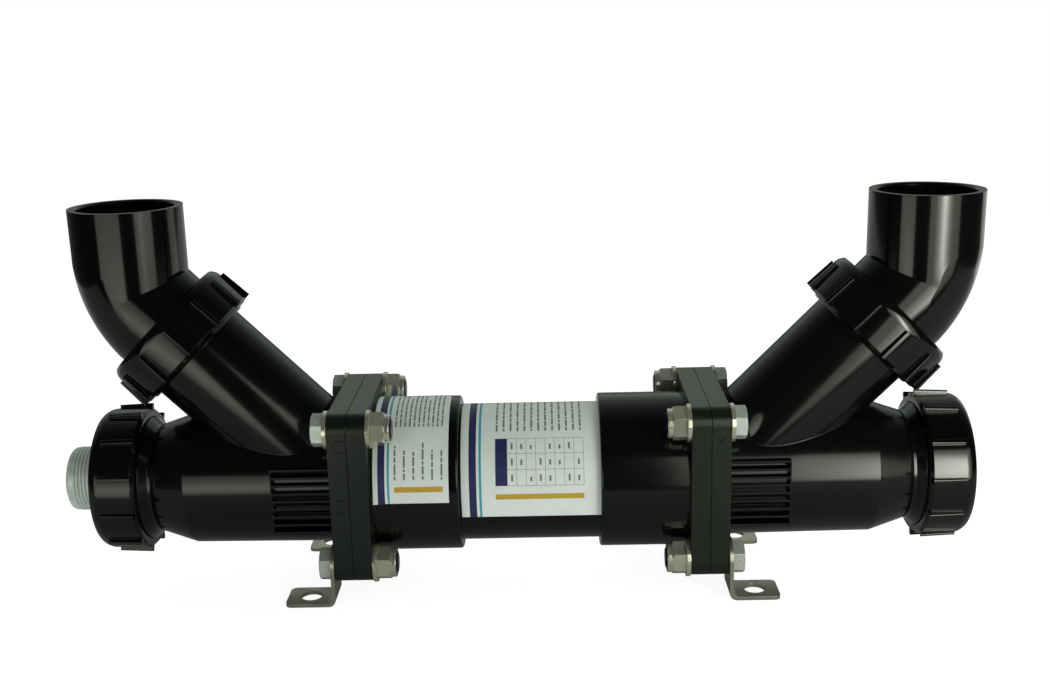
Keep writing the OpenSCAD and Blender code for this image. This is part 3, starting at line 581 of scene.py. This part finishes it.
# %% Threaded stub
THREAD_PITCH, THREAD_DEPTH, THREAD_START = 2.31, 0.5, -279.6
QUARTZ_HOLE_R, SHANK_R, BORE_R, LEDGE = 12.35, 19.0, 14.5, 4.0
RUN_OUT, MOUTH_LENGTH, MOUTH_LOWER, MOUTH_ROUND = 4.2, 3.4, 0.3, 2.8
STUB_STEPS = 96
stub_low, stub_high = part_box("lamp_stub")
stub_end, stub_root = stub_low.x / MM, stub_high.x / MM
crest_r = (stub_high.z - stub_low.z) / 2 / MM
core_r = crest_r - THREAD_DEPTH
mouth_r = crest_r - MOUTH_LOWER
mouth_edge = (stub_end, mouth_r)
half_section = [
    (stub_root, QUARTZ_HOLE_R), (stub_root, SHANK_R), (THREAD_START, SHANK_R), (THREAD_START, core_r),
    (stub_end + RUN_OUT, core_r), (stub_end + MOUTH_LENGTH, mouth_r), mouth_edge, (stub_end, BORE_R),
    (stub_root - LEDGE, BORE_R), (stub_root - LEDGE, QUARTZ_HOLE_R)]

bm = bmesh.new()
verts = [bm.verts.new((x, 0, axis_z + r)) for x, r in half_section]
for a, b in zip(verts, verts[1:] + verts[:1]):
    bm.edges.new((a, b))
bmesh.ops.bevel(bm, geom=[verts[half_section.index(mouth_edge)]], affect="VERTICES", offset=MOUTH_ROUND,
                segments=6, profile=0.5, material=-1)
bmesh.ops.spin(bm, geom=bm.verts[:] + bm.edges[:], cent=(0, 0, axis_z), axis=(1, 0, 0),
               angle=2 * math.pi, steps=STUB_STEPS, use_merge=True)
print("stub body", len(bm.faces), "faces")

# %% [markdown]
# The stub carries a pipe thread of eleven turns to the inch. A row of grooves would look nearly the same, but
# a real thread climbs, so one tooth is spun with a small step along the axis each time, as a lathe cuts it.
# The tooth sinks a little into the body, and it runs out just before the rounded mouth.

# %% Thread of the stub
TURN_STEPS = 60
TOOTH_FOOT, TOOTH_CREST = 0.46 * THREAD_PITCH, 0.14 * THREAD_PITCH
TOOTH_SUNK, LAST_TURN = 0.15, 4.0
tooth = [(-TOOTH_FOOT, core_r - TOOTH_SUNK), (-TOOTH_CREST, crest_r),
         (TOOTH_CREST, crest_r), (TOOTH_FOOT, core_r - TOOTH_SUNK)]
first_x = THREAD_START - THREAD_PITCH / 2
turns = (first_x - (stub_end + LAST_TURN)) / THREAD_PITCH
steps = round(turns * TURN_STEPS)
verts = [bm.verts.new((first_x + x, 0, axis_z + r)) for x, r in tooth]
face = bm.faces.new(verts)
bmesh.ops.spin(bm, geom=[face] + list(face.edges) + verts, cent=(0, 0, axis_z), axis=(-1, 0, 0),
               dvec=(-THREAD_PITCH / TURN_STEPS, 0, 0), angle=2 * math.pi * steps / TURN_STEPS, steps=steps)
threaded_stub = make_piece("threaded_stub", bm, stub_metal, "steriliser", crease=28)
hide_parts("lamp_stub")

# %% [markdown]
# Two printed films wrap the sleeve and the tube, from below the middle of the front, over the top and a
# little down the back. A film is a thin slab: a flat grid is extruded to its thickness and then bent round
# the axis, so one function makes the film and every printed bar on it. An angle runs from the top towards
# the front. The sleeve's film has come loose at its lower left corner, so the function takes a lift that
# grows towards it.

# %% Slabs that wrap the axis
LOOSE_X, LOOSE_ANGLE, LOOSE_BY = -89.0, 80.0, 1.3
LOOSE_WIDTH, LOOSE_DEGREES, LOOSE_CURL = 9, 13, 1.5
DEGREES_A_STEP, LIFTED_STEP = 2.5, 2


def no_lift(x, angle):
    """A film that lies flat."""
    return 0.0


def loose_corner(x, angle):
    """How far the sleeve's film stands off at a place: most at its lower left corner."""
    sideways = min(1, max(0, (LOOSE_X - x) / LOOSE_WIDTH))
    downwards = min(1, max(0, (angle - LOOSE_ANGLE) / LOOSE_DEGREES))
    return LOOSE_BY * sideways * downwards ** LOOSE_CURL


def bend_round_axis(bm, flat, radius, low, high, lift):
    """Thickens flat faces, with X in millimetres and Y in degrees, and wraps them round the axis."""
    faces = list({face for vert in flat for face in vert.link_faces})
    raised = bmesh.ops.extrude_face_region(bm, geom=faces)["geom"]
    top = [part for part in raised if isinstance(part, bmesh.types.BMVert)]
    for verts, height in ((flat, low), (top, high)):
        for vert in verts:
            x, angle = vert.co.x, math.radians(vert.co.y)
            r = radius + height + lift(x, vert.co.y)
            vert.co = (x, -r * math.sin(angle), axis_z + r * math.cos(angle))


def wrapped_slab(bm, radius, x0, x1, a0, a1, low, high, lift=no_lift):
    """A slab from x0 to x1 and from angle a0 to a1, between two heights over a cylinder."""
    around = max(1, round(abs(a1 - a0) / DEGREES_A_STEP))
    across = 1 if lift is no_lift else max(1, round(abs(x1 - x0) / LIFTED_STEP))
    flat = bmesh.ops.create_grid(bm, x_segments=across, y_segments=around, size=1)["verts"]
    bmesh.ops.scale(bm, vec=((x1 - x0) / 2, (a1 - a0) / 2, 1), verts=flat)
    bmesh.ops.translate(bm, vec=((x0 + x1) / 2, (a0 + a1) / 2, 0), verts=flat)
    bend_round_axis(bm, flat, radius, low, high, lift)


print("loose corner lifts", LOOSE_BY, "mm")

# %% [markdown]
# The film is silver-white polyester with a satin face. Ink sits on it a few hundredths of a millimetre
# thick, and its colour is a little uneven, as screen print is, so both are patchy colours under a thin
# clear coat.

# %% Film and inks
PRINT_SHINE, COAT_ROUGH = 0.4, 0.2


def printed(name, tints, roughs, patch_mm, coat):
    """Film or ink: an even colour with a slow unevenness and a satin coat."""
    material = bpy.data.materials.new(name)
    tree = empty_tree(material)
    _, _, tint, rough = mottled(tree, patch_mm, tints, roughs, detail=4.0)
    surface(tree, {
        "Base Color": (tint, "Color"), "Roughness": (rough, "Result"), "Specular IOR Level": PRINT_SHINE,
        "Coat Weight": coat, "Coat Roughness": COAT_ROUGH})
    return material


# The film reads as a cool silvery white, and the inks as flat colours with only a dull sheen.
label_film = printed("silver_polyester_film", ("#dce2e3", "#e4e9ea"), (0.35, 0.45), patch_mm=12, coat=0.2)
ink_indigo = printed("indigo_screen_ink", ("#252853", "#2c2f63"), (0.35, 0.5), patch_mm=2, coat=0.1)
ink_teal = printed("teal_screen_ink", ("#3597a9", "#3fa9bb"), (0.35, 0.5), patch_mm=2, coat=0.1)
ink_yellow = printed("yellow_screen_ink", ("#bd9b2c", "#c8a634"), (0.35, 0.5), patch_mm=2, coat=0.1)
ink_grey = printed("grey_screen_ink", ("#666d6e", "#737b7c"), (0.4, 0.55), patch_mm=2, coat=0.1)
print("film and inks: 5")

# %% [markdown]
# Stripes, rules and blocks are all bars of ink. The print runs round the tube, so a row of dashes follows
# the angle. Its dashes differ in length, which a short list gives, and the list is entered at another place
# for each row, so that no two rows beside each other are alike.

# %% Bars of ink on a film
FILM_GAP, FILM_T, INK_T = 0.02, 0.15, 0.03
DASH_LENGTHS = (5.2, 2.1, 6.8, 3.4, 4.1, 1.6, 7.3, 2.8, 3.9, 5.7, 2.4)
DASH_GAP, RULE_W = 0.9, 0.22


def film(name, radius, x0, x1, a_front, a_back, lift=no_lift):
    """The bare film itself, from its front edge over the top to its back edge."""
    bm = bmesh.new()
    wrapped_slab(bm, radius, x0, x1, a_back, a_front, FILM_GAP, FILM_T, lift)
    make_piece(name, bm, label_film, "steriliser")


def print_bars(name, radius, bars, ink, lift=no_lift):
    """Bars of ink on a film: each is x0, x1, and the angles where it starts and ends."""
    bm = bmesh.new()
    for x0, x1, a0, a1 in bars:
        wrapped_slab(bm, radius, x0, x1, a0, a1, FILM_T, FILM_T + INK_T, lift)
    make_piece(name, bm, ink, "steriliser")


def row_of_dashes(radius, x, width, a_front, a_back, first):
    """Dashes along one row, from its front end towards its back end."""
    bars, angle, dash = [], a_front, first
    while True:
        length = math.degrees(DASH_LENGTHS[dash % len(DASH_LENGTHS)] / radius)
        if angle - length < a_back:
            return bars
        bars.append((x - width / 2, x + width / 2, angle - length, angle))
        angle -= length + math.degrees(DASH_GAP / radius)
        dash += 1


def rows_of_dashes(radius, x, count, pitch, width, front, back, ragged, cycle, stride=1, first=0):
    """Rows side by side, whose back ends step by a ragged angle and start again after a cycle of rows."""
    bars = []
    for i in range(count):
        end = back + ragged * (i % cycle)
        bars += row_of_dashes(radius, x + pitch * i, width, front, end, stride * i + first)
    return bars


def ruled_box(radius, x_lines, a_lines):
    """Thin rules along every given X and every given angle."""
    half, half_angle = RULE_W / 2, math.degrees(RULE_W / 2 / radius)
    rules = [(x - half, x + half, min(a_lines), max(a_lines)) for x in x_lines]
    return rules + [(min(x_lines), max(x_lines), a - half_angle, a + half_angle) for a in a_lines]


print("dashes from", min(DASH_LENGTHS), "to", max(DASH_LENGTHS), "mm")

# %% [markdown]
# The tube's film has an indigo stripe and a thin teal one round it, a ruled table with an indigo head, rows
# of dashes above the table and a yellow bar below it. Each colour is a piece of its own, because a piece
# has one material.

# %% Stripes and table on the tube's film
FILM_BACK, TUBE_FILM_FRONT = -40, 111
TUBE_FILM_X, TUBE_STRIPE_X, TUBE_THIN_X = (-43.2, 44.7), (-38.2, -33.6), (-31.9, -30.4)
film("tube_film", tube_r, *TUBE_FILM_X, TUBE_FILM_FRONT, FILM_BACK)
print_bars("tube_film_stripe", tube_r, [(*TUBE_STRIPE_X, FILM_BACK, TUBE_FILM_FRONT)], ink_indigo)
print_bars("tube_film_thin_stripe", tube_r, [(*TUBE_THIN_X, FILM_BACK, TUBE_FILM_FRONT)], ink_teal)

TABLE_LEFT, TABLE_RIGHT, COLUMN_COUNT, HEAD_W = -14.0, 34.0, 8, 7.5
TABLE_LINES, TUBE_BAR = (44, 57, 70, 83), (90, 94.5)
head_left = TABLE_LEFT - HEAD_W
column_w = (TABLE_RIGHT - TABLE_LEFT) / COLUMN_COUNT
columns = [TABLE_LEFT + column_w * i for i in range(COLUMN_COUNT + 1)]
head = (head_left, TABLE_LEFT, TABLE_LINES[0], TABLE_LINES[-1])
print_bars("tube_film_table_head", tube_r, [head], ink_indigo)
print_bars("tube_film_rules", tube_r, ruled_box(tube_r, columns, TABLE_LINES), ink_grey)
print_bars("tube_film_yellow", tube_r, [(head_left, TABLE_RIGHT, *TUBE_BAR)], ink_yellow)
print("table columns", COLUMN_COUNT, "of", round(column_w, 2), "mm")

# %% [markdown]
# Above the table stand thirteen rows of dashes with ragged ends, and inside it three cells of every four
# hold one short dash. Loops over the rows and cells place them, and a remainder varies their lengths.

# %% Dashes on the tube's film
ROW_INSET = 1
CELL_DASH_FROM, CELL_DASH_TO, CELL_FRONT, CELL_BACK = 2.4, 3.6, 3.5, 9
CELL_CYCLE, LENGTH_CYCLE = 4, 3
dashes = rows_of_dashes(tube_r, head_left + ROW_INSET, count=13, pitch=4.4, width=1.1,
                        front=37, back=-26, ragged=5, cycle=3)
for i, x in enumerate(columns[:-1]):
    for j, line in enumerate(TABLE_LINES[1:]):
        if (i + j + 1) % CELL_CYCLE:
            back = line - CELL_BACK + i % LENGTH_CYCLE
            dashes.append((x + CELL_DASH_FROM, x + CELL_DASH_TO, back, line - CELL_FRONT))
print_bars("tube_film_words", tube_r, dashes, ink_grey)
print("tube film: dashes", len(dashes))

# %% [markdown]
# The sleeve's film is narrower and ends higher. It has the same two stripes, two groups of rows and a
# yellow bar. Its broad stripe runs over the loose corner, so it takes the same lift as the film.

# %% Print on the sleeve's film
SLEEVE_FILM_FRONT = 93.2
SLEEVE_FILM_X, SLEEVE_STRIPE_X, SLEEVE_THIN_X = (-97.9, -50.5), (-94.8, -90.4), (-88.9, -87.5)
SLEEVE_BAR = (-84.5, -54.2, 81, 85)
SLEEVE_ROWS_X, FINE_PITCH = -84.0, 2.93
film("sleeve_film", sleeve_r, *SLEEVE_FILM_X, SLEEVE_FILM_FRONT, FILM_BACK, loose_corner)
stripe = (*SLEEVE_STRIPE_X, FILM_BACK, SLEEVE_FILM_FRONT)
print_bars("sleeve_film_stripe", sleeve_r, [stripe], ink_indigo, loose_corner)
print_bars("sleeve_film_thin_stripe", sleeve_r, [(*SLEEVE_THIN_X, FILM_BACK, SLEEVE_FILM_FRONT)], ink_teal)
upper = rows_of_dashes(sleeve_r, SLEEVE_ROWS_X, count=11, pitch=FINE_PITCH, width=1.0,
                       front=36, back=-24, ragged=7, cycle=4, stride=2)
lower = rows_of_dashes(sleeve_r, SLEEVE_ROWS_X, count=6, pitch=2 * FINE_PITCH, width=1.1,
                       front=76, back=46, ragged=4, cycle=3, stride=3, first=1)
print_bars("sleeve_film_words", sleeve_r, upper + lower, ink_grey)
print_bars("sleeve_film_yellow", sleeve_r, [SLEEVE_BAR], ink_yellow)
print("sleeve film: dashes", len(upper + lower))

# %% [markdown]
# Where the mould's ejector pins pushed, the plates keep round marks: a shallow raised ring about eight
# millimetres across. Each is a small section with sloping sides, spun round the mark's own centre.

# %% Ejector marks
RING_R, RING_W, RING_H, RING_SUNK, RING_STEPS = 4.0, 0.9, 0.32, 0.05, 48
EJECTOR_MARKS = ((-116.3, 105.6), (-116.7, 66.7), (-116.6, 26.5), (116.2, 107.7))
plate_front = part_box("wye_left")[0].y / MM


def ejector_ring(bm, x, z):
    """A raised ring on the front face of a plate."""
    corners = [(RING_R - RING_W / 2, RING_SUNK), (RING_R + RING_W / 2, RING_SUNK),
               (RING_R + RING_W / 4, -RING_H), (RING_R - RING_W / 4, -RING_H)]
    verts = [bm.verts.new((x + r, plate_front + h, z)) for r, h in corners]
    edges = [bm.edges.new((a, b)) for a, b in zip(verts, verts[1:] + verts[:1])]
    bmesh.ops.spin(bm, geom=verts + edges, cent=(x, plate_front, z), axis=(0, 1, 0),
                   angle=2 * math.pi, steps=RING_STEPS, use_merge=True)


bm = bmesh.new()
for x, z in EJECTOR_MARKS:
    ejector_ring(bm, x, z)
make_piece("ejector_marks", bm, barrel_abs, "steriliser")
